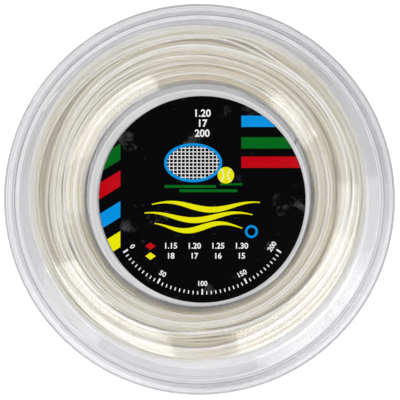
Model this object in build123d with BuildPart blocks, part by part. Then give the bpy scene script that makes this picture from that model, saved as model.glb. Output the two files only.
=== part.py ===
"""Reel of racket string, lying on its rear flange. Millimetres, +Z up along the reel's axis.

The spool is one clear moulding used twice: each half carries a flange and half of the hub, and
three snap tongues alternate with three catches, so that a turned-over copy locks into the first.
The string is wound on the hub, a thin band keeps its springy turns down, and a printed disc
closes the front of the hub.
"""

import os
from math import atan2, cos, degrees, hypot, radians, sin, tan

from build123d import *

# Flange, measured inwards from the lip's face
flange_radius = 78.0
flange_wall = 1.8
flange_rise = 1.5
crest_width = 8.2  # from the collar out to the crest of the web
crest_height = 1.25
crest_round = 8.0
shoulder_width = 8.2  # from the shoulder of the web out to the foot of the lip
shoulder_height = 0.66
ridge_width = 5.4  # from the low ridge out to the foot of the lip
ridge_height = 0.72
foot_height = 0.62
lip_width = 6.1  # from the foot of the lip out to the rim
lip_slope = 1.3
lip_land = 0.9  # flat face that the reel lies on
lip_fall = 0.25
lip_round = 1.2
skirt_wall = 1.5

# Hub
collar_width = 3.4  # from the label's recess out to the collar's edge
collar_overhang = 2.6  # of the collar over the barrel
collar_rise = 0.7
barrel_wall = 2.2
web_wall = 1.8
bore_radius = 8.0
bore_wall = 2.0
bore_chamfer = 0.6
rib_count = 6
rib_wall = 1.4
rib_height_inner = 13.0
rib_height_outer = 6.0

# Snap joint between the two halves
tongue_count = 3
tongue_angle = 16.0
tongue_length = 9.0
tongue_root = 2.0
tongue_wall = 1.2
barb_reach = 0.7
barb_height = 2.4
barb_tip = 0.6
snap_clearance = 0.15

# String and its winding, a springy coil that has eased off the hub and leans on one side of it
string_diameter = 1.2
winding_width = 35.4
winding_margin = 10.2  # from the last layer out to the rim, before the coil leans over
winding_clearance = 0.1
winding_slack = 2.4
winding_lean_angle = 105.0
winding_swell = 0.55  # of the outer bundles into the hollow of the flange, past the first bundle
winding_rings = 3  # bundles of turns that stand out from each end of the coil
winding_groove = 1.1
crown_width = 7.0  # where the last layers fall away from the flanges
crown_fall = 3.6
anchor_clearance = 0.2
start_reach = 8.0
start_length = 12.0
start_bend = 6.5
end_clearance = 0.3
end_straight = 12.0
end_bend = 45.0
end_curl_angle = 18.0

# Label and its seat
label_radius = 41.2
label_thickness = 0.2
label_gap = 1.4
label_shift = 1.1  # the disc is stuck down this far off centre
label_recess = 0.4

# Retaining band
band_clearance = 0.4
band_side_clearance = 0.6
band_wall = 0.5
band_joggle_angle = 2.0
band_end_gap_angle = 0.6
band_overlap_angle = 22.0
band_overlap_gap = 0.1
band_start_angle = 205.0
weld_radius = 1.5
weld_count = 3
slot_length = 14.0
slot_grip = 0.04
slot_angle = 135.0

# Levels, up from the rear lip's face
seat_level = collar_rise + label_recess
web_top = seat_level + web_wall
inner_face = flange_rise + flange_wall
mating_level = inner_face + winding_width / 2
catch_floor = mating_level - tongue_length - snap_clearance
band_seat = inner_face - ridge_height
band_width = 2 * (mating_level - band_seat) - band_side_clearance
band_middle = band_seat + band_width / 2

# Radii and angles that follow from the sizes above
recess_radius = label_radius + label_gap
collar_radius = recess_radius + collar_width
barrel_radius = collar_radius - collar_overhang
crest_radius = collar_radius + crest_width
lip_foot = flange_radius - lip_width
shoulder_radius = lip_foot - shoulder_width
ridge_radius = lip_foot - ridge_width
crest_fillet = min(crest_round, 2 * (shoulder_radius - crest_radius))
lip_edge = lip_foot + lip_slope
lip_skew = flange_wall * tan(atan2(flange_rise, lip_slope) / 2)
skirt_inner = flange_radius - skirt_wall
barrel_bore = barrel_radius - barrel_wall
barrel_middle = barrel_radius - barrel_wall / 2
tongue_outer = barrel_bore + tongue_wall
tongue_pitch = 360 / tongue_count
catch_angle = tongue_angle + 2 * degrees(snap_clearance / barrel_bore)
fold_angle = tongue_pitch / 4
string_radius = string_diameter / 2
winding_inner = barrel_radius + winding_clearance + winding_slack
winding_radius = flange_radius - winding_margin
winding_reach = winding_radius + winding_slack
ring_pitch = (winding_radius - crown_width - winding_inner) / winding_rings
band_inner = winding_reach + band_clearance
band_outer = band_inner + band_wall
flap_inner = band_outer + band_overlap_gap
flap_outer = flap_inner + band_wall


def is_bore_edge(edge):
    """Whether a circular edge lies on the spindle bore."""
    off_axis = hypot(edge.arc_center.X, edge.arc_center.Y)
    return max(off_axis, abs(edge.radius - bore_radius)) < bore_wall / 2


def radial_plane(angle, radius, level):
    """A plane that faces outwards at this place round the axis; its y runs up the axis."""
    out = Vector(cos(radians(angle)), sin(radians(angle)), 0)
    across = Vector(-sin(radians(angle)), cos(radians(angle)), 0)
    return Plane(origin=out * radius + Vector(0, 0, level), x_dir=across, z_dir=out)


# A snap tongue, rising from the mating face along the inside of the barrel's wall
with BuildPart() as tongue:
    with BuildSketch(Plane.XZ):
        with BuildLine():
            tip = mating_level + tongue_length
            catch = tip - barb_tip - barb_height
            Polyline(
                (barrel_bore, mating_level),
                (barrel_bore + tongue_wall / 2, mating_level - tongue_root),
                (tongue_outer, mating_level - tongue_root),
                (tongue_outer, catch),
                (tongue_outer + barb_reach, catch),
                (tongue_outer + barb_reach, catch + barb_tip),
                (tongue_outer - barb_tip, tip),
                (barrel_bore, tip),
                close=True,
            )
        make_face()
    revolve(axis=Axis.Z, revolution_arc=tongue_angle)

# What a catch takes out of the barrel: a pocket for the tongue and a window for its barb
with BuildPart() as catch_space:
    with BuildSketch(Plane.XZ):
        with BuildLine():
            pocket_wall = tongue_outer + snap_clearance
            window_top = mating_level - tongue_length + barb_tip + barb_height + snap_clearance
            Polyline(
                (barrel_bore - bore_wall, catch_floor),
                (barrel_radius + bore_wall, catch_floor),
                (barrel_radius + bore_wall, window_top),
                (pocket_wall, window_top),
                (pocket_wall, mating_level + tongue_root),
                (barrel_bore - bore_wall, mating_level + tongue_root),
                close=True,
            )
        make_face()
    revolve(axis=Axis.Z, revolution_arc=catch_angle)

# A stiffening rib between the spindle tube and the barrel
with BuildPart() as rib:
    with BuildSketch(Plane.XZ):
        with BuildLine():
            Polyline(
                (bore_radius + bore_wall / 2, web_top - web_wall / 2),
                (barrel_middle, web_top - web_wall / 2),
                (barrel_middle, web_top + rib_height_outer),
                (bore_radius + bore_wall / 2, web_top + rib_height_inner),
                close=True,
            )
        make_face()
    extrude(amount=rib_wall / 2, both=True)

# One half of the spool, flange down
with BuildPart() as spool_half:
    with BuildSketch(Plane.XZ):
        with BuildLine():
            FilletPolyline(
                (barrel_middle, flange_rise),
                (collar_radius, flange_rise),
                (crest_radius, flange_rise - crest_height),
                (shoulder_radius, flange_rise - shoulder_height),
                (ridge_radius, flange_rise - ridge_height),
                (lip_foot, flange_rise - foot_height),
                (lip_edge, 0),
                (lip_edge + lip_land, 0),
                (flange_radius, lip_fall),
                (flange_radius, inner_face),
                (skirt_inner, inner_face),
                (skirt_inner, flange_wall),
                (lip_edge + lip_skew, flange_wall),
                (lip_foot + lip_skew, band_seat),
                (ridge_radius, band_seat),
                (shoulder_radius, inner_face - shoulder_height),
                (crest_radius, inner_face - crest_height),
                (collar_radius, inner_face),
                (barrel_middle, inner_face),
                radius=[0, 0, crest_fillet] + [0] * 5 + [lip_round] + [0] * 10,
                close=True,
            )
        make_face()
    revolve(axis=Axis.Z)
    with BuildSketch(Plane.XY.offset(collar_rise)):
        Circle(collar_radius)
    extrude(amount=web_top - collar_rise)
    with BuildSketch(Plane.XY.offset(web_top)):
        Circle(barrel_radius)
        Circle(barrel_bore, mode=Mode.SUBTRACT)
        Circle(bore_radius + bore_wall)
    extrude(amount=mating_level - web_top)
    with PolarLocations(0, rib_count, start_angle=fold_angle):
        add(rib.part)
    with BuildSketch(Plane.XY.offset(collar_rise)):
        Circle(recess_radius)
    extrude(amount=label_recess, mode=Mode.SUBTRACT)
    with BuildSketch(Plane.XY):
        Circle(bore_radius)
    extrude(amount=mating_level, mode=Mode.SUBTRACT)
    bore_edges = spool_half.edges().filter_by(GeomType.CIRCLE).filter_by(is_bore_edge)
    chamfer(bore_edges.sort_by(Axis.Z)[0], bore_chamfer)
    with PolarLocations(0, tongue_count, start_angle=-tongue_angle / 2):
        add(tongue.part)
    with PolarLocations(0, tongue_count, start_angle=(tongue_pitch - catch_angle) / 2):
        add(catch_space.part, mode=Mode.SUBTRACT)
    with BuildSketch(radial_plane(fold_angle, barrel_bore - start_reach, mating_level)):
        Circle(string_radius + anchor_clearance)
    extrude(amount=start_reach + barrel_wall * 2, mode=Mode.SUBTRACT)


# The front half is the same moulding, turned over about the line on which it maps onto itself
fold = Axis((0, 0, mating_level), (cos(radians(fold_angle)), sin(radians(fold_angle)), 0))
front_half = spool_half.part.rotate(fold, 180)

# The printed disc in the front collar's recess
with BuildPart() as front_label:
    with BuildSketch(Plane.XY.offset(2 * mating_level - seat_level)):
        with Locations((label_shift, 0)):
            Circle(label_radius)
    extrude(amount=label_thickness)

# All turns of the string as one closed ring: bundles of turns stand out from its ends, and its crown
# falls away from the flanges
with BuildPart() as coil:
    with BuildSketch(Plane.XZ):
        with BuildLine():
            end_profile = [(winding_inner, winding_swell + winding_groove)]
            for ring in range(winding_rings):
                valley = winding_inner + ring * ring_pitch
                crest_depth = winding_swell if ring == 0 else 0
                end_profile += [
                    (valley + 0.3 * ring_pitch, crest_depth),
                    (valley + 0.7 * ring_pitch, crest_depth),
                    (valley + ring_pitch, winding_groove),
                ]
            end_profile.append((winding_radius, crown_fall))
            front = [(radius, winding_width / 2 + winding_swell - depth) for radius, depth in end_profile]
            rear = [(radius, -level) for radius, level in reversed(front)]
            Polyline(*front, *rear, close=True)
        make_face()
    revolve(axis=Axis.Z)

# The winding, with the string's start drawn into the hub
with BuildPart() as string_winding:
    with PolarLocations(winding_slack, 1, start_angle=winding_lean_angle):
        with Locations((0, 0, mating_level)):
            add(coil.part)
    fold_plane = Plane(origin=(0, 0, mating_level), x_dir=fold.direction, z_dir=(0, 0, 1))
    with BuildLine(fold_plane) as start_path:
        start_corner = barrel_bore - start_reach
        FilletPolyline(
            (winding_inner + winding_slack, 0),
            (start_corner, 0),
            (start_corner, start_length),
            radius=start_bend,
        )
    with BuildSketch(Plane(origin=start_path.line @ 0, z_dir=start_path.line % 0)):
        Circle(string_radius)
    sweep()

# The band round the winding, one strip with its ends lapped and staked together
with BuildPart() as retaining_band:
    with BuildSketch(Plane.XY.offset(band_seat)):
        with BuildLine():
            base_end = band_start_angle + 360 - band_joggle_angle - band_end_gap_angle
            flap_start = base_end + band_joggle_angle
            flap_end = band_start_angle + 360 + band_overlap_angle
            inner_base = CenterArc((0, 0), band_inner, band_start_angle, base_end - band_start_angle)
            inner_flap = CenterArc((0, 0), flap_inner, flap_start, flap_end - flap_start)
            outer_flap = CenterArc((0, 0), flap_outer, flap_start, flap_end - flap_start)
            outer_base = CenterArc((0, 0), band_outer, band_start_angle, base_end - band_start_angle)
            Line(inner_base @ 1, inner_flap @ 0)
            Line(inner_flap @ 1, outer_flap @ 1)
            Line(outer_flap @ 0, outer_base @ 1)
            Line(outer_base @ 0, inner_base @ 0)
        make_face()
    extrude(amount=band_width)
    with BuildSketch(radial_plane(slot_angle, winding_reach, band_middle)):
        SlotOverall(slot_length, string_diameter - slot_grip)
    extrude(amount=band_clearance + 2 * band_wall, mode=Mode.SUBTRACT)
    lap_middle = band_start_angle + band_overlap_angle / 2
    with BuildSketch(radial_plane(lap_middle, band_outer - band_wall / 2, band_middle)):
        with GridLocations(0, band_width / weld_count, 1, weld_count):
            Circle(weld_radius)
    extrude(amount=band_wall + band_overlap_gap)

# The string's free end, gripped by the slot, leaving it straight and curling back along the band
with BuildPart() as string_end:
    slot_start = slot_angle - degrees((slot_length - string_diameter) / 2 / band_inner)
    end_start = radial_plane(slot_start, winding_reach + end_clearance + string_radius, band_middle)
    with BuildLine(Plane(origin=end_start.origin, x_dir=end_start.x_dir, z_dir=(0, 0, 1))) as end_path:
        straight = Line((0, 0), (end_straight, 0))
        JernArc(straight @ 1, straight % 1, end_bend, end_curl_angle)
    with BuildSketch(Plane(origin=end_path.line @ 0, z_dir=end_path.line % 0)):
        Circle(string_radius)
    sweep()

pieces = {
    "rear_flange": spool_half.part,
    "front_flange": front_half,
    "front_label": front_label.part,
    "string_winding": string_winding.part,
    "retaining_band": retaining_band.part,
    "string_end": string_end.part,
}
os.makedirs("parts", exist_ok=True)
for name, piece in pieces.items():
    piece.label = name
    export_step(piece, f"parts/{name}.step")
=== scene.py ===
"""Looks of a reel of racket string: clear spool, pearl-white winding, printed disc and band.

Laid out as an add-on: each piece or group of pieces has an operator, whose sizes and colours stand in a
property group on the scene. All lengths are in metres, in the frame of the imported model.
"""

import random
from math import cos, exp, pi, radians, sin, sqrt, tanh, tau
import bpy
from bpy.props import FloatProperty, FloatVectorProperty, IntProperty, PointerProperty
from bpy.types import Operator, Panel, PropertyGroup
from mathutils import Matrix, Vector


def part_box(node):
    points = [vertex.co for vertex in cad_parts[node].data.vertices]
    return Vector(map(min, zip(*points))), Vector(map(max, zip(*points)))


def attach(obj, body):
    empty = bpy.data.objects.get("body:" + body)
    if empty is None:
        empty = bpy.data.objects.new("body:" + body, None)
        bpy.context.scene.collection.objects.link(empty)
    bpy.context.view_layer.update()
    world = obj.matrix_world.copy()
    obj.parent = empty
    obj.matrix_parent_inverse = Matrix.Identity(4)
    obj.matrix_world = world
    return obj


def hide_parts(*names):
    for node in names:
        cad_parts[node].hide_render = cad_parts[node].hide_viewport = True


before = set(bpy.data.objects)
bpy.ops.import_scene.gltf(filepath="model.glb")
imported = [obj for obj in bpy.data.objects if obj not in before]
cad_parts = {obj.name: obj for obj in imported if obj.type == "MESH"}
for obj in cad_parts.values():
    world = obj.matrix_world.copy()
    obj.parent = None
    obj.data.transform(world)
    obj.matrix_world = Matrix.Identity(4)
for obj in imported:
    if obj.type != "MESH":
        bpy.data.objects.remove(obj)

bl_info = {
    "name": "String Reel",
    "version": (1, 0, 0),
    "blender": (4, 5, 0),
    "location": "View3D > Sidebar > String Reel",
    "description": "Finishes a reel of racket string and sets it on a pale studio floor",
    "category": "Object",
}

MM = 0.001
WINDING_LOW, WINDING_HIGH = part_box("string_winding")
LABEL_LOW, LABEL_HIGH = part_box("front_label")
SPOOL_LOW, SPOOL_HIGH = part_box("rear_flange")[0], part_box("front_flange")[1]
WINDING_MIDDLE = (WINDING_LOW.z + WINDING_HIGH.z) / 2
LABEL_MIDDLE = (LABEL_LOW + LABEL_HIGH) / 2
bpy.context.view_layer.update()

# Middle radius of the milky ring round the hub, and radius of the foot of the rim's lip.
MILKY_RING = 42.3 * MM
LIP_FOOT = 71.9 * MM

# Directions, in degrees from +X, of the sides on which the milky ring round the hub is drawn in and shade is
# painted at the foot of the coil.
HUB_SHADE = 265
COIL_SHADE = 290

# How much of a point's height counts as distance in marks that run round the axis.
HEIGHT_SHARE = 0.25


# ---------------------------------------------------------------------------------------------
# Sizes and colours that a user would change


def length_property(name, description, default):
    return FloatProperty(name=name, description=description, default=default, unit="LENGTH")


def colour_property(name, description, default):
    return FloatVectorProperty(name=name, description=description, default=default, subtype="COLOR")


class ReelWindingSettings(PropertyGroup):
    """The string and how it lies on the spool."""

    diameter: length_property("String diameter", "Gauge of the string", 1.2 * MM)
    lean: length_property("Lean", "How far the slack coil has shifted on the hub", 2.4 * MM)
    lean_angle: FloatProperty(
        name="Lean direction", description="Where the coil has shifted to",
        default=radians(105), subtype="ANGLE",
    )
    inner_radius: length_property("Inner radius", "Inside of the coil", 45.9 * MM)
    outer_radius: length_property("Outer radius", "Outside of the coil", 67.8 * MM)
    layers: IntProperty(name="Layers", description="Layers of turns", default=22, min=4)
    rings: IntProperty(
        name="Bundles", description="Bundles of turns that stand out at each end", default=3, min=1
    )
    swell: length_property("Swell", "How far the outer bundles swell past the first", 0.55 * MM)
    groove: length_property("Groove", "Depth of the grooves between the bundles", 1.1 * MM)
    crown_width: length_property("Crown width", "Where the last layers fall away", 7.0 * MM)
    crown_fall: length_property("Crown fall", "How far the last layers fall away", 3.6 * MM)
    wander: length_property("Wander", "How far an end turn strays from its circle", 2.5 * MM)
    start_angle: FloatProperty(
        name="Start", description="Where the string leaves the hub", default=radians(30), subtype="ANGLE"
    )
    start_depth: length_property("Start depth", "Radius at which the start turns aside in the hub", 33.2 * MM)
    start_tail: length_property("Start tail", "Length of string lying loose in the hub", 12.0 * MM)
    end_angle: FloatProperty(
        name="End", description="Where the string leaves the winding",
        default=radians(129.5), subtype="ANGLE",
    )
    seed: IntProperty(name="Seed", description="Picks one arrangement of the turns", default=7)
    color: colour_property("String colour", "Pearl white of the string", (0.95, 0.94, 0.885))
    shade: colour_property("Warm shade", "Warmer stretches of the string", (0.72, 0.69, 0.53))
    # Painted shade: olive laid on turns deep between others and at the foot of the coil.
    depths: colour_property("Depths", "Olive of turns seen deep between others", (0.46, 0.375, 0.11))
    amber: colour_property("Amber", "Amber streaks along a few turns", (0.66, 0.5, 0.17))
    # Painted light: whiter outermost turns near both ends, lifting the shade at the coil's outer edge.
    pale: colour_property("Pale", "Whitish outermost turns, at both ends", (0.97, 0.97, 0.96))


class ReelSpoolSettings(PropertyGroup):
    """The clear moulding."""

    tint: colour_property("Plastic tint", "Colour left in light that has passed a wall", (0.94, 0.94, 0.952))
    lip_tint: colour_property("Lip tint", "The same, in the thicker lip", (0.72, 0.72, 0.74))
    veil: FloatProperty(
        name="Veil", description="Share of the light that the plastic scatters",
        default=0.10, subtype="FACTOR",
    )
    hub_milk: FloatProperty(
        name="Hub milkiness", description="Share of the light that the thick wall of the hub scatters",
        default=0.6, subtype="FACTOR",
    )
    ior: FloatProperty(name="Refraction", description="Index of refraction of the plastic", default=1.55)
    haze: FloatProperty(
        name="Haze", description="Roughness of the moulded faces", default=0.03, subtype="FACTOR"
    )


class ReelLabelSettings(PropertyGroup):
    """The printed disc."""

    ground: colour_property("Ground", "Black ground of the print", (0.0015, 0.0015, 0.002))
    white: colour_property("White", "White ink", (0.85, 0.85, 0.85))
    blue: colour_property("Blue", "Blue ink", (0.0, 0.27, 0.72))
    green: colour_property("Green", "Green ink", (0.0, 0.13, 0.01))
    red: colour_property("Red", "Red ink", (0.5, 0.0, 0.005))
    yellow: colour_property("Yellow", "Yellow ink", (0.78, 0.76, 0.0))
    ink: length_property("Ink thickness", "How far the print stands off the disc", 0.02 * MM)


class ReelStageSettings(PropertyGroup):
    """Camera, lamps and floor."""

    distance: length_property("Camera distance", "From the front flange to the lens", 0.657)
    view_width: length_property("View width", "Width of the view at the front flange", 159.1 * MM)
    lamp_power: FloatProperty(
        name="Lamp power", description="Watts of each softbox per square metre", default=11.0
    )
    lamp_height: length_property("Lamp height", "Of the softboxes above the floor", 1.25)
    sky: FloatProperty(name="Sky", description="Strength of the light from all round", default=1.02)


SETTINGS = {
    "reel_winding": ReelWindingSettings,
    "reel_spool": ReelSpoolSettings,
    "reel_label": ReelLabelSettings,
    "reel_stage": ReelStageSettings,
}


# ---------------------------------------------------------------------------------------------
# Shared tools


def set_mode(mode):
    bpy.ops.object.mode_set(mode=mode)


def deselect_all():
    bpy.ops.object.select_all(action="DESELECT")


def pick(*objects):
    """Selects only these objects, the first of them active."""
    deselect_all()
    for each in objects:
        each.select_set(True)
    bpy.context.view_layer.objects.active = objects[0]
    return objects[0]


def join(name, objects):
    """One object from several."""
    whole = pick(*objects)
    if len(objects) > 1:
        bpy.ops.object.join()
    whole.name = name
    whole.data.name = name
    return whole


def settle(piece):
    """Puts the piece's place into its mesh, so that the object stands at the origin."""
    pick(piece)
    bpy.ops.object.transform_apply(location=True, rotation=True, scale=True)
    return piece


def mesh_from_curve(name, curve):
    """The shape of a curve as a mesh object."""
    piece = bpy.data.objects.new(name, curve)
    bpy.context.scene.collection.objects.link(piece)
    pick(piece)
    bpy.ops.object.convert(target="MESH")
    return piece


def flat_points(points):
    """The coordinates of a spline's points in one row, each with its weight of 1."""
    return [c for point in points for c in (*point, 1.0)]


def dress(piece, material):
    """Gives a piece this material alone."""
    piece.data.materials.clear()
    piece.data.materials.append(material)


def finish_piece(piece, body, material, angle=radians(35), replaces=()):
    """Shades a piece, gives it its material and ties it to its body."""
    settle(piece)
    bpy.ops.object.shade_smooth_by_angle(angle=angle)
    dress(piece, material)
    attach(piece, body)
    if replaces:
        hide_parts(*replaces)
    return piece


class Nodes:
    """Builds a material's nodes one after another."""

    def __init__(self, tree):
        self.tree = tree
        self.tree.nodes.clear()

    def add(self, kind, inputs=None, **settings):
        """A node whose inputs are values or other nodes' outputs."""
        node = self.tree.nodes.new(kind)
        for key, value in settings.items():
            setattr(node, key, value)
        for key, value in (inputs or {}).items():
            if isinstance(value, bpy.types.NodeSocket):
                self.tree.links.new(value, node.inputs[key])
            else:
                node.inputs[key].default_value = value
        return node

    def noise(self, vector, scale, detail=2.0, roughness=0.5):
        return self.add(
            "ShaderNodeTexNoise", {"Vector": vector, "Scale": scale, "Detail": detail, "Roughness": roughness}
        ).outputs["Fac"]

    def spread(self, value, low, high, to_low=0.0, to_high=1.0):
        """The value mapped from low and high to the last two numbers, and held there beyond them."""
        return self.add(
            "ShaderNodeMapRange",
            {"Value": value, "From Min": low, "From Max": high, "To Min": to_low, "To Max": to_high},
        ).outputs["Result"]

    def blend(self, factor, first, second):
        """A mix of two colours."""
        node = self.add("ShaderNodeMix", data_type="RGBA")
        for index, value in ((0, factor), (6, first), (7, second)):
            if isinstance(value, bpy.types.NodeSocket):
                self.tree.links.new(value, node.inputs[index])
            elif index == 0:
                node.inputs[index].default_value = value
            else:
                node.inputs[index].default_value = (*value, 1.0)
        return node.outputs[2]

    def math(self, operation, first, second=0.0):
        return self.add("ShaderNodeMath", {0: first, 1: second}, operation=operation).outputs[0]

    def times(self, *values):
        """The product of several values."""
        product = values[0]
        for value in values[1:]:
            product = self.math("MULTIPLY", product, value)
        return product

    def vector(self, operation, first, second=(0.0, 0.0, 0.0)):
        """A step of vector arithmetic. A length or a dot product comes back as a number."""
        node = self.add("ShaderNodeVectorMath", {0: first, 1: second}, operation=operation)
        return node.outputs["Value" if operation in ("LENGTH", "DOT_PRODUCT") else "Vector"]

    def height(self, place):
        return self.add("ShaderNodeSeparateXYZ", {0: place}).outputs["Z"]

    def bump(self, height, strength, distance):
        return self.add(
            "ShaderNodeBump", {"Height": height, "Strength": strength, "Distance": distance}
        ).outputs["Normal"]

    def surface(self, color, roughness, ior, normal, **more):
        """A Principled surface, with further inputs by name."""
        inputs = {"Base Color": color, "Roughness": roughness, "IOR": ior, "Normal": normal, **more}
        return self.add("ShaderNodeBsdfPrincipled", inputs).outputs[0]

    def output(self, surface):
        self.add("ShaderNodeOutputMaterial", {"Surface": surface})


def new_material(name):
    """A material with an empty node tree, the builder for its nodes, and the place of a point."""
    material = bpy.data.materials.new(name)
    material.use_nodes = True
    nodes = Nodes(material.node_tree)
    place = nodes.add("ShaderNodeTexCoord").outputs["Object"]
    return material, nodes, place


# ---------------------------------------------------------------------------------------------
# Materials


def towards(nodes, place, azimuth, start, full):
    """0 to 1 where the distance from the axis towards this azimuth goes from start to full."""
    line = (cos(radians(azimuth)), sin(radians(azimuth)), 0.0)
    return nodes.spread(nodes.vector("DOT_PRODUCT", place, line), start, full)


def clear_plastic(name, settings, veil, wave_height, ends=None):
    """Clear plastic with a slight milkiness. It lets light through to shadows without bending it.

    A ring round the hub is milkier. Where ends are given, the milkier parts are those two edges instead.
    """
    material, nodes, place = new_material(name)
    waves = nodes.noise(place, 55.0, detail=1.0)
    scuffs = nodes.noise(place, 900.0, detail=4.0, roughness=0.7)
    relief = nodes.math("ADD", waves, nodes.times(scuffs, 0.02))
    scratches = nodes.noise(place, 240.0, detail=5.0, roughness=0.75)
    rough = nodes.spread(scratches, 0.45, 0.75, settings.haze, settings.haze * 2.2)
    reach = nodes.vector("LENGTH", nodes.vector("MULTIPLY", place, (1, 1, 0)))

    # On the shaded side the milky ring lies a little further in, so that the painted shadow at the foot of
    # the coil shows through clear plastic there.
    shaded_side_inset = nodes.times(towards(nodes, place, HUB_SHADE, 29 * MM, 41 * MM), 1.1 * MM)
    shifted = nodes.math("ADD", reach, shaded_side_inset)
    off_ring = nodes.math("ABSOLUTE", nodes.math("SUBTRACT", shifted, MILKY_RING))
    milk = nodes.spread(off_ring, 1.1 * MM, 1.8 * MM, settings.hub_milk, veil)
    if ends:
        half = (ends[1] - ends[0]) / 2
        height = nodes.height(place)
        off_middle = nodes.math("ABSOLUTE", nodes.math("SUBTRACT", height, sum(ends) / 2))
        milk = nodes.spread(off_middle, half - 0.3 * MM, half - 0.05 * MM, veil, settings.hub_milk)
        # Drawn film has no waves: its relief is one even slope.
        relief = height

    flow = nodes.noise(round_axis(nodes, place, (0, 0), 0.012), 420.0, detail=3.0, roughness=0.6)
    broad_cloud = nodes.spread(waves, 0.3, 0.7, -0.02, 0.02)
    cloud = nodes.math("ADD", broad_cloud, nodes.spread(flow, 0.3, 0.7, -0.03, 0.03))
    lip_reach = nodes.math("ADD", reach, nodes.times(waves, MM))
    in_lip = nodes.spread(lip_reach, LIP_FOOT, LIP_FOOT + MM)
    glass = nodes.surface(
        nodes.blend(in_lip, settings.tint, settings.lip_tint),
        nodes.math("ADD", rough, nodes.times(in_lip, 0.11)),
        settings.ior,
        nodes.bump(relief, 0.35, wave_height),
        **{"Transmission Weight": nodes.math("SUBTRACT", 1.0, nodes.math("ADD", milk, cloud))},
    )
    to_lamp = nodes.add("ShaderNodeLightPath").outputs["Is Shadow Ray"]
    shadow_glass = nodes.add("ShaderNodeBsdfTransparent", {"Color": (0.975, 0.975, 0.98, 1.0)}).outputs[0]
    nodes.output(nodes.add("ShaderNodeMixShader", {0: to_lamp, 1: glass, 2: shadow_glass}).outputs[0])
    return material


def round_axis(nodes, place, centre, along):
    """Coordinates for marks that run round an axis: distance from it, and a slow change round it."""
    moved = nodes.vector("ADD", place, (-centre[0], -centre[1], 0))
    flat = nodes.vector("MULTIPLY", moved, (1, 1, 0))
    reach = nodes.vector("LENGTH", flat)
    heading = nodes.vector("NORMALIZE", flat)
    slow = nodes.vector("MULTIPLY", heading, (along, along, 0))
    parts = nodes.add("ShaderNodeSeparateXYZ", {0: slow}).outputs
    across = nodes.math("ADD", reach, nodes.times(nodes.height(place), HEIGHT_SHARE))
    return nodes.add("ShaderNodeCombineXYZ", {0: across, 1: parts["X"], 2: parts["Y"]}).outputs[0]


def pearl_string(settings):
    """Pearly monofilament: warm white, a little translucent, with amber streaks along some turns."""
    material, nodes, place = new_material("pearl_string")
    centre = (settings.lean * cos(settings.lean_angle), settings.lean * sin(settings.lean_angle))
    turns = round_axis(nodes, place, centre, 0.0016)
    broad = nodes.spread(nodes.noise(turns, 420.0, detail=2.0), 0.42, 0.62)
    streak = nodes.spread(nodes.noise(turns, 800.0, detail=1.0), 0.66, 0.78)
    fine = nodes.noise(place, 700.0, detail=3.0, roughness=0.6)
    tone = nodes.blend(nodes.times(broad, 0.9), settings.color, settings.shade)
    tone = nodes.blend(nodes.times(streak, 0.7), tone, settings.amber)
    # Painted shade deep between turns and at the coil's foot, and painted light at its outer edge.
    tone = tone_by_place(nodes, place, turns, tone, settings)
    rough = nodes.spread(fine, 0.3, 0.7, 0.24, 0.4)
    relief = nodes.bump(fine, 0.2, 0.00003)
    glow = {"Subsurface Weight": 0.2, "Subsurface Radius": (1.0, 0.9, 0.65), "Subsurface Scale": 0.0009}
    nodes.output(nodes.surface(tone, rough, 1.55, relief, **glow))
    return material


def tone_by_place(nodes, place, turns, tone, settings):
    """The string's tone, with painted shade deep between turns and at the foot of the coil, and painted light
    at its outside.

    below is the depth under the nearer end of the coil, and across the distance from the coil's own middle.
    """
    inner, outer = settings.inner_radius, settings.outer_radius
    height = nodes.height(place)
    from_middle = nodes.math("ABSOLUTE", nodes.math("SUBTRACT", height, WINDING_MIDDLE))
    below = nodes.math("SUBTRACT", WINDING_HIGH.z - WINDING_MIDDLE, from_middle)
    across = nodes.add("ShaderNodeSeparateXYZ", {0: turns}).outputs["X"]
    across = nodes.math("SUBTRACT", across, nodes.times(height, HEIGHT_SHARE))

    # Painted shade: turns that lie deep below the coil's ends, inside it and on its falling crown, turn
    # olive.
    within_coil = nodes.spread(across, outer - 3.4 * MM, outer - 1.6 * MM, 1.0, 0.0)
    on_crown = nodes.spread(below, 4.5 * MM, 7.0 * MM, 0.4, 0.0)
    sunk = nodes.times(nodes.spread(below, 1.3 * MM, 2.9 * MM), nodes.math("MAXIMUM", within_coil, on_crown))

    # Painted shade at the foot of the coil, where it meets the hub on its shaded side.
    outside_hub = nodes.spread(across, inner - 1.2 * MM, inner - 0.6 * MM)
    near_end = nodes.spread(below, 6.0 * MM, 9.0 * MM, 1.0, 0.2)
    shaded = nodes.times(outside_hub, near_end, towards(nodes, place, COIL_SHADE, 0, 16 * MM))
    painted_hub_shade = nodes.times(nodes.spread(across, inner + 0.4 * MM, inner + 1.8 * MM, 1.0, 0.0), shaded)
    amber_side = nodes.spread(nodes.noise(place, 18.0, detail=1.0), 0.5, 0.62)
    depths = nodes.blend(amber_side, settings.depths, tuple(c * 0.8 for c in settings.amber))
    tone = nodes.blend(nodes.math("MAXIMUM", nodes.times(sunk, 0.85), painted_hub_shade), tone, depths)

    # Painted light: the outermost turns near both ends are made paler, lifting their shade.
    at_rim = nodes.spread(across, outer - 3.2 * MM, outer, 0.0, 0.6)
    pale = nodes.times(at_rim, nodes.spread(below, 5.0 * MM, 9.0 * MM, 1.0, 0.0))
    tone = nodes.blend(pale, tone, settings.pale)

    # Painted shadow: a near-black line along the coil's inner edge on its shaded side, where it meets the
    # hub.
    at_foot = nodes.spread(across, inner + 0.3 * MM, inner + 1.1 * MM, 1.0, 0.0)
    painted_foot_shadow = nodes.times(at_foot, shaded, nodes.spread(below, 0.3 * MM, 1.1 * MM))
    return nodes.blend(painted_foot_shadow, tone, tuple(c * 0.05 for c in settings.depths))


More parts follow.
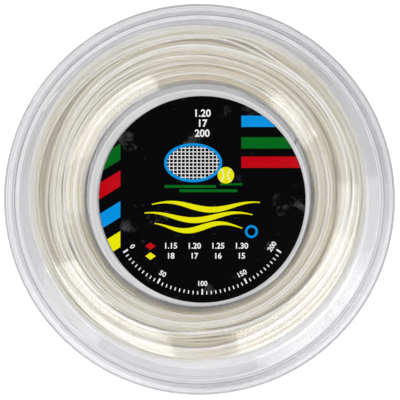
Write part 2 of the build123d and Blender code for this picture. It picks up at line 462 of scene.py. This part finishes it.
def label_ground(color):
    """Glossy black laminate with faint smears and hairline scratches."""
    material, nodes, place = new_material("label_ground")
    smears = nodes.noise(place, 70.0, detail=5.0, roughness=0.65)
    smear = nodes.spread(smears, 0.6, 0.78)
    stretched = nodes.add(
        "ShaderNodeMapping", {"Vector": place, "Rotation": (0, 0, radians(35)), "Scale": (1.0, 14.0, 1.0)}
    ).outputs[0]
    scratch = nodes.spread(nodes.noise(stretched, 120.0, detail=3.0, roughness=0.8), 0.68, 0.74)
    marks = nodes.math("MAXIMUM", nodes.times(smear, 0.5), nodes.times(scratch, 0.35))
    tone = nodes.blend(marks, color, (0.16, 0.16, 0.165))
    rough = nodes.spread(marks, 0.0, 0.6, 0.06, 0.25)
    nodes.output(nodes.surface(tone, rough, 1.45, nodes.bump(smears, 0.15, 0.0002)))
    return material


def ink(name, color):
    """A screen-printed ink with slightly uneven cover."""
    material, nodes, place = new_material(name)
    cover = nodes.spread(nodes.noise(place, 1800.0, detail=3.0, roughness=0.6), 0.35, 0.75)
    broad = nodes.spread(nodes.noise(place, 90.0, detail=2.0), 0.3, 0.8)
    thin = tuple(c * 0.82 for c in color)
    tone = nodes.blend(nodes.times(cover, 0.6), color, thin)
    rough = nodes.spread(broad, 0.0, 1.0, 0.08, 0.16)
    nodes.output(nodes.surface(tone, rough, 1.45, nodes.bump(cover, 0.1, 0.00002)))
    return material


def floor_material():
    """White floor: full white to the camera, also through the clear plastic, with the reel's shadow kept."""
    material, nodes, place = new_material("studio_floor")
    grain = nodes.spread(nodes.noise(place, 30.0), 0.3, 0.7)
    tone = nodes.blend(grain, (0.9, 0.9, 0.9), (0.92, 0.92, 0.92))
    base = nodes.add("ShaderNodeBsdfDiffuse", {"Color": tone})
    path = nodes.add("ShaderNodeLightPath")
    direct = nodes.times(path.outputs["Is Camera Ray"], 0.5)
    through = nodes.times(path.outputs["Is Transmission Ray"], 0.36)
    strength = nodes.math("MAXIMUM", direct, through)
    glow = nodes.add("ShaderNodeEmission", {"Color": (1, 1, 1, 1), "Strength": strength})
    total = nodes.add("ShaderNodeAddShader", {0: base.outputs[0], 1: glow.outputs[0]})
    nodes.output(total.outputs[0])
    return material


# ---------------------------------------------------------------------------------------------
# The string's path


class CoilPath:
    """The whole string, from its start at the hub to its free end, as one path measured in turns."""

    # Turns that a layer ends with before it climbs, and turns that the climb takes.
    FLAT_TURNS = 0.8
    CLIMB_TURNS = 0.45

    # Turns at each end of a layer that stray from their circle, and that part at the gaps.
    STRAY_TURNS = 1.6
    PART_TURNS = 3.4

    # Distance between turns, in diameters.
    PITCH = 1.012

    # How often a layer's end starts a new bundle, and how deep that may lie, in millimetres.
    NEW_BUNDLE_CHANCE = 0.4
    BUNDLE_DEPTHS = (0.0, 0.4, 1.1)

    # Gaps between the end turns: heading and half width in degrees, radius of the middle in millimetres,
    # slant in millimetres per radian, and opening in millimetres.
    GAPS = (
        (69, 22, 62.1, -2.4, 2.3),
        (174, 27, 60.9, -0.9, 1.8),
        (200, 19, 54.9, -0.7, 1.1),
        (273, 15, 58.7, -2.4, 1.6),
        (5, 25, 61.9, 0.9, 0.9),
        (12, 18, 55.9, 0.3, 0.9),
        (58, 9, 48.8, 0.5, 0.7),
    )

    # The last stretch, in turns, and how far it rises to meet the free end.
    EXIT_TURNS = 0.12
    EXIT_LIFT = 0.5 * MM

    def __init__(self, settings):
        dice = random.Random(settings.seed)
        self.start_angle = settings.start_angle
        self.radius = settings.diameter / 2
        self.lean = settings.lean
        self.lean_angle = settings.lean_angle
        self.wander = settings.wander
        self.settings = settings
        self.crown_start = settings.outer_radius - settings.crown_width
        self.ring_pitch = (self.crown_start - settings.inner_radius) / settings.rings
        count = settings.layers
        first = settings.inner_radius + self.radius
        last = settings.outer_radius - self.radius
        self.step = (last - first) / (count - 1)
        low, high = WINDING_LOW.z + self.radius, WINDING_HIGH.z - self.radius
        middle = (low + high) / 2
        pitch = settings.diameter * self.PITCH
        self.layers = []
        turn, level = 0.0, middle
        sway = {1: self.new_sway(dice), -1: self.new_sway(dice)}
        sunk = {1: 0.0, -1: 0.0}
        for index in range(count):
            radius = first + index * self.step
            side = 1 if index % 2 == 0 else -1
            if dice.random() < self.NEW_BUNDLE_CHANCE:
                sway[side] = self.new_sway(dice)
                sunk[side] = dice.choice(self.BUNDLE_DEPTHS)
            depth = self.end_depth(radius) + (sunk[side] + dice.uniform(0.0, 0.35)) * MM
            target = high - depth if side > 0 else low + depth
            if index == count - 1:
                target = middle
            turns = abs(target - level) / pitch + self.FLAT_TURNS
            if index == count - 1:
                turns += (settings.end_angle - settings.start_angle) / tau - (turn + turns) % 1.0
            nudge = dice.uniform(-0.25, 0.25)
            self.layers.append(
                {
                    "start": turn,
                    "turns": turns,
                    "from": level,
                    "to": target,
                    "radius": radius,
                    "sway": [(size + nudge * (k == 0), phase) for k, (size, phase) in enumerate(sway[side])],
                    "back_sway": sway[-side],
                }
            )
            turn += turns
            level = target
        self.turns = turn

    def new_sway(self, dice):
        """How a bundle of end turns strays: once round, twice round and thrice round."""
        sizes = (dice.uniform(0.5, 1.2), dice.uniform(0.2, 0.5), 0.15)
        return [(size, dice.uniform(0, tau)) for size in sizes]

    def end_depth(self, radius):
        """How far the coil's end lies below the flange at this radius: bundles, then a falling crown."""
        settings = self.settings
        if radius > self.crown_start:
            share = (radius - self.crown_start) / settings.crown_width
            return settings.groove * (1 - share) * 0.6 + settings.crown_fall * share * share
        share = (radius - settings.inner_radius) / self.ring_pitch
        crest = settings.swell if share < 1 else 0.0
        valley = settings.groove + (settings.swell if share < 0.5 else 0.0)
        return crest + (valley - crest) * (0.5 + 0.5 * cos(share * tau))

    def layer_at(self, turn):
        """The number of the layer that the string is in after so many turns."""
        for index in range(len(self.layers) - 1, 0, -1):
            if turn >= self.layers[index]["start"]:
                return index
        return 0

    def point(self, turn):
        """Where the string's axis lies after so many turns."""
        index = self.layer_at(turn)
        layer = self.layers[index]
        last = index + 1 == len(self.layers)
        done = turn - layer["start"]
        left = layer["turns"] - done
        share = min(1.0, done / (layer["turns"] - self.FLAT_TURNS))
        level = layer["from"] + (layer["to"] - layer["from"]) * share
        climb = max(0.0, 1 - left / self.CLIMB_TURNS)
        climb = climb * climb * (3 - 2 * climb)
        angle = self.start_angle + turn * tau
        near_end = exp(-((left / self.STRAY_TURNS) ** 2)) * (not last)
        near_start = exp(-((done / self.STRAY_TURNS) ** 2)) * (index > 0)
        radius = layer["radius"] + self.step * climb * (not last)
        stray = self.stray(layer["sway"], angle) * near_end
        stray += self.stray(layer["back_sway"], angle) * near_start
        room = min(1.0, 0.25 + 4 * (radius - self.layers[0]["radius"]) / self.layers[-1]["radius"])
        radius += self.wander * room * stray + 0.12 * MM * sin(2 * angle + 0.7)
        parting = exp(-((left / self.PART_TURNS) ** 4)) * (not last)
        parting += exp(-((done / self.PART_TURNS) ** 4)) * (index > 0)
        radius += self.part(radius, angle, level) * min(1.0, parting)
        radius = min(max(radius, self.layers[0]["radius"] - 0.1 * MM), self.layers[-1]["radius"] + 0.2 * MM)
        if last and left < self.EXIT_TURNS:
            radius += self.EXIT_LIFT * (1 - left / self.EXIT_TURNS) ** 2
        return Vector(
            (
                self.lean * cos(self.lean_angle) + radius * cos(angle),
                self.lean * sin(self.lean_angle) + radius * sin(angle),
                level,
            )
        )

    def part(self, radius, angle, level):
        """How far a turn moves aside where the end turns have slid apart and left a lens-shaped gap."""
        low_side = 0.5 - 0.5 * sin(angle + 0.1)
        shift = 1.5 * MM * low_side * exp((self.layers[0]["radius"] - radius) / (2.0 * MM))
        if level < WINDING_MIDDLE:
            angle = 2.0 - angle
        for heading, half_angle, middle, slant, opening in self.GAPS:
            swing = (angle - radians(heading) + pi) % tau - pi
            off = radius - (middle + slant * swing) * MM
            lens = exp(-((swing / radians(half_angle)) ** 2))
            shift += opening * MM * lens * tanh(off / (0.7 * MM)) * exp(-abs(off) / (3.2 * MM))
        return shift

    def stray(self, sway, angle):
        """How far a turn strays outwards at this angle, as a share of the wander."""
        return sum(size * sin((k + 1) * angle + phase) for k, (size, phase) in enumerate(sway))

    def run(self, start, end, per_turn):
        """Points along the string from one turn count to another."""
        steps = max(2, int(round((end - start) * per_turn)))
        return [self.point(start + (end - start) * i / steps) for i in range(steps + 1)]

    def length(self):
        """Length of the string along its path."""
        points = self.run(0.0, self.turns, 48)
        return sum((b - a).length for a, b in zip(points, points[1:]))


def strand(name, runs, radius, corners):
    """Round string along each run of points, as a mesh."""
    curve = bpy.data.curves.new(name, "CURVE")
    curve.dimensions = "3D"
    curve.twist_mode = "Z_UP"
    curve.bevel_depth = radius
    curve.bevel_resolution = (corners - 4) // 2
    curve.use_fill_caps = True
    for run in runs:
        spline = curve.splines.new("POLY")
        spline.points.add(len(run) - 1)
        spline.points.foreach_set("co", flat_points(run))
    return mesh_from_curve(name, curve)


# ---------------------------------------------------------------------------------------------
# Printed shapes, in millimetres from the middle of the disc


def print_piece(name, outlines, thickness, rim_radius=None, lift=0.0):
    """Flat patches of one ink, each a closed outline, raised by the thickness of the ink."""
    curve = bpy.data.curves.new(name, "CURVE")
    curve.dimensions = "2D"
    curve.fill_mode = "BOTH"
    curve.extrude = thickness / 2
    for outline in outlines:
        spline = curve.splines.new("POLY")
        spline.points.add(len(outline) - 1)
        spline.points.foreach_set("co", [c for x, y in outline for c in (x * MM, y * MM, 0.0, 1.0)])
        spline.use_cyclic_u = True
    patch = mesh_from_curve(name, curve)
    patch.location = (LABEL_MIDDLE.x, LABEL_MIDDLE.y, LABEL_HIGH.z + thickness / 2 + lift)
    settle(patch)
    if rim_radius:
        trim_to_disc(patch, rim_radius)
    return close_seams(patch)


def close_seams(patch):
    """Joins the flat faces of a patch to its walls."""
    pick(patch)
    set_mode("EDIT")
    bpy.ops.mesh.select_all(action="SELECT")
    bpy.ops.mesh.remove_doubles(threshold=0.001 * MM)
    bpy.ops.mesh.normals_make_consistent(inside=False)
    set_mode("OBJECT")
    return patch


def trim_to_disc(patch, radius):
    """Cuts a printed patch off at the edge of the disc."""
    close_seams(patch)
    deselect_all()
    bpy.ops.mesh.primitive_cylinder_add(
        vertices=256, radius=radius, depth=10 * MM, location=(LABEL_MIDDLE.x, LABEL_MIDDLE.y, LABEL_HIGH.z)
    )
    cutter = bpy.context.object
    pick(patch)
    cut = patch.modifiers.new("edge_of_disc", "BOOLEAN")
    cut.operation = "INTERSECT"
    cut.object = cutter
    bpy.ops.object.modifier_apply(modifier=cut.name)
    bpy.data.objects.remove(cutter)
    return patch


def printed_figures(name, words, thickness):
    """Plain figures: (text, x, y, height, turn) each, centred at that place on the disc."""
    size_per_height = 1.38
    weight_per_height = 0.03
    figures = []
    for text, x, y, height, turn in words:
        deselect_all()
        place = (LABEL_MIDDLE.x + x * MM, LABEL_MIDDLE.y + y * MM, LABEL_HIGH.z + thickness / 2)
        bpy.ops.object.text_add(location=place)
        figure = bpy.context.object
        figure.data.body = text
        figure.data.size = height * MM * size_per_height
        figure.data.align_x = "CENTER"
        figure.data.align_y = "CENTER"
        figure.data.extrude = thickness / 2
        figure.data.offset = height * MM * weight_per_height
        figure.data.resolution_u = 5
        figure.rotation_euler.z = turn
        bpy.ops.object.convert(target="MESH")
        figures.append(close_seams(settle(figure)))
    return join(name, figures)


def bar_outline(x0, y0, x1, y1):
    """A level rectangle between two opposite corners."""
    return [(x0, y0), (x1, y0), (x1, y1), (x0, y1)]


def oval_points(middle, wide, tall, start, end, steps):
    """Points along an upright oval from one angle to another. wide and tall are half its sizes."""
    points = []
    for i in range(steps + 1):
        angle = start + (end - start) * i / steps
        points.append((middle[0] + wide * cos(angle), middle[1] + tall * sin(angle)))
    return points


def arc_points(middle, radius, start, end, steps):
    return oval_points(middle, radius, radius, start, end, steps)


def disc_outline(middle, radius, steps=40):
    return arc_points(middle, radius, 0, tau * (1 - 1 / steps), steps - 1)


def lozenge_outline(middle, wide, tall):
    """A square on its corner. wide and tall are half its sizes."""
    x, y = middle
    return [(x + wide, y), (x, y + tall), (x - wide, y), (x, y - tall)]


def stroke_outline(points, widths):
    """Both sides of a line drawn with one width, or with a width for each of its points."""
    if not isinstance(widths, (list, tuple)):
        widths = [widths] * len(points)
    left, right = [], []
    for i, ((x, y), width) in enumerate(zip(points, widths)):
        ax, ay = points[max(0, i - 1)]
        bx, by = points[min(len(points) - 1, i + 1)]
        dx, dy = bx - ax, by - ay
        size = sqrt(dx * dx + dy * dy)
        nx, ny = -dy / size * width / 2, dx / size * width / 2
        left.append((x + nx, y + ny))
        right.append((x - nx, y - ny))
    return left + right[::-1]


# ---------------------------------------------------------------------------------------------
# Operators


class REEL_OT_spool(Operator):
    """Give both halves of the spool and the band their clear plastic"""

    bl_idname = "reel.spool"
    bl_label = "Clear Spool"

    def execute(self, context):
        settings = context.scene.reel_spool
        moulding = clear_plastic("clear_moulding", settings, settings.veil, 0.0004)
        dress(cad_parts["front_flange"], moulding)
        dress(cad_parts["rear_flange"], moulding)
        low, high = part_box("retaining_band")
        film = clear_plastic("clear_film", settings, settings.veil / 2, 0.0006, ends=(low.z, high.z))
        dress(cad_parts["retaining_band"], film)
        return {"FINISHED"}


class REEL_OT_winding(Operator):
    """Wind the whole string on the hub, turn by turn"""

    bl_idname = "reel.winding"
    bl_label = "Wound String"

    # Turns before and after the end of a layer that are made finely, because they show.
    END_TURNS = 1.7

    # For each piece: points in one turn of its path, and corners of its round section.
    FINENESS = {
        "winding_front_turns": (150, 10),
        "winding_rear_turns": (150, 8),
        "winding_outer_layer": (150, 8),
        "winding_inner_layer": (96, 6),
        "winding_core_turns": (40, 4),
    }

    def execute(self, context):
        settings = context.scene.reel_winding
        pearl = pearl_string(settings)
        path = CoilPath(settings)
        stretches = self.stretches(path)
        pieces = []
        for name, (per_turn, corners) in self.FINENESS.items():
            runs = [path.run(start, end, per_turn) for start, end in stretches[name]]
            pieces.append(strand(name, runs, path.radius, corners))
        for piece in (*pieces, self.start_in_hub(settings, path)):
            finish_piece(piece, "spool", pearl, angle=radians(80), replaces=("string_winding",))
        dress(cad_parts["string_end"], pearl)
        print("string:", round(path.turns, 1), "turns,", round(path.length(), 2), "m")
        return {"FINISHED"}

    def stretches(self, path):
        """For each piece, where the stretches of the path that it holds start and end, in turns."""
        stretches = {name: [] for name in self.FINENESS}
        last = len(path.layers) - 1
        for index, layer in enumerate(path.layers):
            start = layer["start"] + (self.END_TURNS if index > 0 else 0)
            end = layer["start"] + layer["turns"]
            layer_end = end - self.END_TURNS if index < last else end
            if index < last:
                at_front = index % 2 == 0
                turning = "winding_front_turns" if at_front else "winding_rear_turns"
                stretches[turning].append((layer_end, end + self.END_TURNS))
            if index >= last - 1:
                stretches["winding_outer_layer"].append((start, layer_end))
            elif index == 0:
                stretches["winding_inner_layer"].append((start, layer_end))
            else:
                stretches["winding_core_turns"].append((start, layer_end))
        return stretches

    def start_in_hub(self, settings, path):
        """The string's start, drawn through the hole in the hub and laid aside."""
        out = Vector((cos(settings.start_angle), sin(settings.start_angle), 0))
        aside = Vector((-out.y, out.x, 0))
        level = Vector((0, 0, WINDING_MIDDLE))
        first = path.point(0.0)
        bend = level + out * settings.start_depth
        route = [
            first,
            level + out * (first.xy.length - 2 * MM),
            level + out * (settings.start_depth + 6 * MM),
            bend + aside * 1 * MM,
            bend + aside * 7 * MM,
            bend + aside * settings.start_tail,
        ]
        curve = bpy.data.curves.new("winding_start", "CURVE")
        curve.dimensions = "3D"
        curve.bevel_depth = settings.diameter / 2
        curve.bevel_resolution = 2
        curve.resolution_u = 8
        curve.use_fill_caps = True
        spline = curve.splines.new("NURBS")
        spline.points.add(len(route) - 1)
        spline.points.foreach_set("co", flat_points(route))
        spline.order_u = 3
        spline.use_endpoint_u = True
        return mesh_from_curve("winding_start", curve)


class REEL_OT_label(Operator):
    """Make the printed disc and its print"""

    bl_idname = "reel.label"
    bl_label = "Printed Disc"

    # The scale along the lower edge: its first tick and the step between ticks in degrees.
    SCALE_START = 214
    TICK_ANGLE = 2.8
    TICKS_PER_FIGURE = 10

    def execute(self, context):
        settings = context.scene.reel_label
        radius = (LABEL_HIGH.x - LABEL_LOW.x) / 2
        deselect_all()
        bpy.ops.mesh.primitive_cylinder_add(
            vertices=256, radius=radius, depth=LABEL_HIGH.z - LABEL_LOW.z, location=LABEL_MIDDLE
        )
        disc = bpy.context.object
        disc.name = "label_disc"
        settle(disc)
        self.round_upper_edge(disc)
        ground = label_ground(settings.ground)
        finish_piece(disc, "spool", ground, radians(15), replaces=("front_label",))

        art = self.bars(radius) + self.string_bed(settings.ink) + self.strands() + self.marks()
        inks = {}
        for name, color, outlines, rim, lift in art:
            patch = print_piece(name, outlines, settings.ink, rim, lift)
            if color not in inks:
                inks[color] = ink(f"ink_{color}", getattr(settings, color))
            finish_piece(patch, "spool", inks[color])
        figures = printed_figures("print_figures", self.figures(), settings.ink)
        finish_piece(figures, "spool", inks["white"])
        return {"FINISHED"}

    def round_upper_edge(self, disc):
        """Takes the sharpness off the edge round the printed face."""
        set_mode("EDIT")
        bpy.ops.mesh.select_all(action="DESELECT")
        set_mode("OBJECT")
        for edge in disc.data.edges:
            edge.select = all(disc.data.vertices[v].co.z > LABEL_MIDDLE.z for v in edge.vertices)
        set_mode("EDIT")
        bpy.ops.mesh.bevel(offset=0.08 * MM, segments=3, affect="EDGES")
        set_mode("OBJECT")

    # The next four return a name, colour, outlines, radius to trim to and lift for each printed patch.

    def bars(self, radius):
        """Level bars that run off the right edge, and slanting ones off the left edge."""
        rim = radius - 0.15 * MM
        pieces = []
        left, right, half = 15.6, 45, 2.25
        for color, level in (("blue", 31.1), ("green", 22.5), ("red", 14.8)):
            bar = bar_outline(left, level - half, right, level + half)
            pieces.append((f"print_bar_right_{color}", color, [bar], rim, 0.0))
        left, right, half, fall = -46, -32.6, 3.2, 8.3
        for color, level in (("green", 19.0), ("red", 8.4), ("blue", -3.9), ("yellow", -15.8)):
            high_side = [(right, level + half), (left, level + half - fall)]
            low_side = [(left, level - half - fall), (right, level - half)]
            pieces.append((f"print_bar_left_{color}", color, [high_side + low_side], rim, 0.0))
        return pieces

    def string_bed(self, ink_height):
        """An oval string bed over strips of green, with a ball in front of it."""
        centre, wide, tall = (-3.6, 14.6), 11.0, 7.2
        hoop = stroke_outline(oval_points(centre, wide, tall, 0, tau, 72), 1.1)
        mains, crosses = [], []
        half, gap = 0.16, 0.2
        spaces = 7
        for i in range(1 - spaces, spaces):
            x = centre[0] + i * wide / spaces
            reach = tall * sqrt(1 - (i / spaces) ** 2) - gap
            mains.append(bar_outline(x - half, centre[1] - reach, x + half, centre[1] + reach))
        spaces = 5
        for i in range(1 - spaces, spaces):
            y = centre[1] + i * tall / spaces
            reach = wide * sqrt(1 - (i / spaces) ** 2) - gap
            crosses.append(bar_outline(centre[0] - reach, y - half, centre[0] + reach, y + half))
        corners = ((-15, 4.6, 5.5, 5.7), (-9, 2.9, 14.0, 4.0), (7.0, 5.6, 16.0, 6.4))
        strips = [bar_outline(*each) for each in corners]
        ball = (9.4, 9.6)
        seams = []
        for side in (-1, 1):
            heading, half_bow = radians(90 + 90 * side), 0.86
            bow_middle = (ball[0] + side * 4.3, ball[1])
            bow = arc_points(bow_middle, 3.4, heading - half_bow, heading + half_bow, 12)
            seams.append(stroke_outline(bow, 0.35))
        return [
            ("print_bed_mains", "white", mains, None, 0.0),
            ("print_bed_crosses", "white", crosses, None, ink_height),
            ("print_bed_hoop", "blue", [hoop], None, 2 * ink_height),
            ("print_ball", "yellow", [disc_outline(ball, 3.3)], None, 3 * ink_height),
            ("print_ball_seams", "white", seams, None, 4 * ink_height),
            ("print_strips", "green", strips, None, 0.0),
        ]

    def strands(self):
        """Three strands that swing across the disc, each thick in its middle and fine at its ends."""
        strokes = []
        count = 48
        lines = ((-2.6, -20.0, 23.0, 0.4), (-6.8, -23.0, 20.0, 1.1), (-11.0, -19.0, 16.0, 1.9))
        for level, start, end, phase in lines:
            points, widths = [], []
            for i in range(count + 1):
                share = i / count
                points.append((start + (end - start) * share, level + 1.5 * sin(share * tau * 1.25 + phase)))
                widths.append(0.4 + 1.9 * sin(share * pi) ** 1.5)
            strokes.append(stroke_outline(points, widths))
        return [("print_strands", "yellow", strokes, None, 0.0)]

    def marks(self):
        """Two lozenges, a ring, and a scale of ticks that follows the lower edge."""
        ticks = []
        inner, outer = 36.6, 37.9
        for i in range(4 * self.TICKS_PER_FIGURE + 1):
            angle = radians(self.SCALE_START + i * self.TICK_ANGLE)
            short = i % self.TICKS_PER_FIGURE > 0
            foot = inner if short else inner - 0.9
            across = radians(0.32 if short else 0.5)
            corners = ((foot, -across), (outer, -across), (outer, across), (foot, across))
            ticks.append([(r * cos(angle + side), r * sin(angle + side)) for r, side in corners])
        ring = stroke_outline(arc_points((19.6, -12.8), 2.1, 0, tau, 36), 0.9)
        return [
            ("print_ticks", "white", ticks, None, 0.0),
            ("print_ring", "blue", [ring], None, 0.0),
            ("print_lozenge_red", "red", [lozenge_outline((-20.6, -18.6), 2.1, 1.5)], None, 0.0),
            ("print_lozenge_yellow", "yellow", [lozenge_outline((-20.6, -22.6), 2.1, 1.5)], None, 0.0),
        ]

    def figures(self):
        """Gauge and length, a row of gauges, and the figures of the scale."""
        words = [("1.20", 0.0, 34.2, 2.9, 0.0), ("17", 0.0, 30.2, 2.9, 0.0), ("200", 0.0, 26.2, 2.9, 0.0)]
        for i, (gauge, number) in enumerate((("1.15", "18"), ("1.20", "17"), ("1.25", "16"), ("1.30", "15"))):
            words.append((gauge, -12.6 + i * 9.4, -18.6, 2.3, 0.0))
            words.append((number, -12.6 + i * 9.4, -22.6, 2.3, 0.0))
        for i, length in enumerate((0, 50, 100, 150, 200)):
            angle = radians(self.SCALE_START + i * self.TICKS_PER_FIGURE * self.TICK_ANGLE)
            words.append((str(length), 33.6 * cos(angle), 33.6 * sin(angle), 2.0, angle + pi / 2))
        return words


class REEL_OT_stage(Operator):
    """Set the floor, the lamps and the camera"""

    bl_idname = "reel.stage"
    bl_label = "Studio"

    # Name, place, turn in degrees, length, width, and share of the lamp power.
    SOFTBOXES = (
        ("softbox_left", -0.2265, -0.2636, 210.0, 0.204, 0.31, 1.0),
        ("softbox_right", 0.25, -0.20, 0.0, 0.30, 0.28, 1.0),
        ("softbox_edge", 0.0825, -0.23, 0.0, 0.035, 0.22, 1.0),
        ("softbox_side", 0.29, -0.01, 0.0, 0.22, 0.10, 0.55),
    )

    def execute(self, context):
        settings = context.scene.reel_stage
        deselect_all()
        bpy.ops.mesh.primitive_plane_add(size=6.0, location=(0, 0, SPOOL_LOW.z - 0.05 * MM))
        floor = bpy.context.object
        floor.name = "studio_floor"
        settle(floor)
        floor.data.materials.append(floor_material())
        for name, x, y, turn, length, width, share in self.SOFTBOXES:
            lamp = bpy.data.lights.new(name, "AREA")
            lamp.shape = "RECTANGLE"
            lamp.size = length
            lamp.size_y = width
            lamp.energy = settings.lamp_power * width * length * share
            holder = bpy.data.objects.new(name, lamp)
            holder.location = (x, y, settings.lamp_height)
            holder.rotation_euler = (0, 0, radians(turn))
            context.scene.collection.objects.link(holder)
        self.make_sky(context, settings.sky)
        self.place_camera(context, settings)
        context.scene.view_settings.view_transform = "Standard"
        return {"FINISHED"}

    def place_camera(self, context, settings):
        """Looks straight down from a little off the axis, shifted so that the reel fills the view."""
        view = bpy.data.cameras.new("view")
        view.lens = view.sensor_width * settings.distance / settings.view_width
        camera = bpy.data.objects.new("view", view)
        off_x, off_y = 9.4 * MM, -6.7 * MM
        trim_x, trim_y = 0.0015, -0.0016
        camera.location = (off_x, off_y, SPOOL_HIGH.z + settings.distance)
        view.shift_x = -off_x / settings.view_width + trim_x
        view.shift_y = -off_y / settings.view_width + trim_y
        view.clip_start = 0.05
        context.scene.collection.objects.link(camera)
        context.scene.camera = camera

    def make_sky(self, context, strength):
        """White to the camera. It lights the reel from all round, but hardly from straight above."""
        world = bpy.data.worlds.new("studio_world")
        context.scene.world = world
        world.use_nodes = True
        nodes = Nodes(world.node_tree)
        direction = nodes.add("ShaderNodeTexCoord").outputs["Generated"]
        opening = nodes.spread(nodes.height(direction), 0.982, 0.992, 1.0, 0.03)
        stronger_side = nodes.vector("DOT_PRODUCT", direction, (-0.17, -0.26, 0))
        opening = nodes.times(opening, nodes.math("ADD", stronger_side, 1.0))
        path = nodes.add("ShaderNodeLightPath")
        seen = path.outputs["Is Camera Ray"]
        level = nodes.math("MAXIMUM", seen, nodes.times(opening, strength))
        background = nodes.add("ShaderNodeBackground", {"Color": (1, 1, 1, 1), "Strength": level})
        nodes.add("ShaderNodeOutputWorld", {"Surface": background.outputs[0]})


class REEL_PT_panel(Panel):
    """Lists the steps that make the reel."""

    bl_label = "String Reel"
    bl_idname = "REEL_PT_panel"
    bl_space_type = "VIEW_3D"
    bl_region_type = "UI"
    bl_category = "String Reel"

    def draw(self, context):
        for operator in OPERATORS:
            self.layout.operator(operator.bl_idname)
        for name, group in SETTINGS.items():
            column = self.layout.column(align=True)
            for field in group.__annotations__:
                column.prop(getattr(context.scene, name), field)


OPERATORS = (REEL_OT_spool, REEL_OT_winding, REEL_OT_label, REEL_OT_stage)


def register():
    for each in (*SETTINGS.values(), *OPERATORS, REEL_PT_panel):
        bpy.utils.register_class(each)
    for name, group in SETTINGS.items():
        setattr(bpy.types.Scene, name, PointerProperty(type=group))


def unregister():
    for name in SETTINGS:
        delattr(bpy.types.Scene, name)
    for each in reversed((*SETTINGS.values(), *OPERATORS, REEL_PT_panel)):
        bpy.utils.unregister_class(each)


def main():
    register()
    bpy.ops.reel.spool()
    bpy.ops.reel.winding()
    bpy.ops.reel.label()
    bpy.ops.reel.stage()


if __name__ == "__main__":
    main()
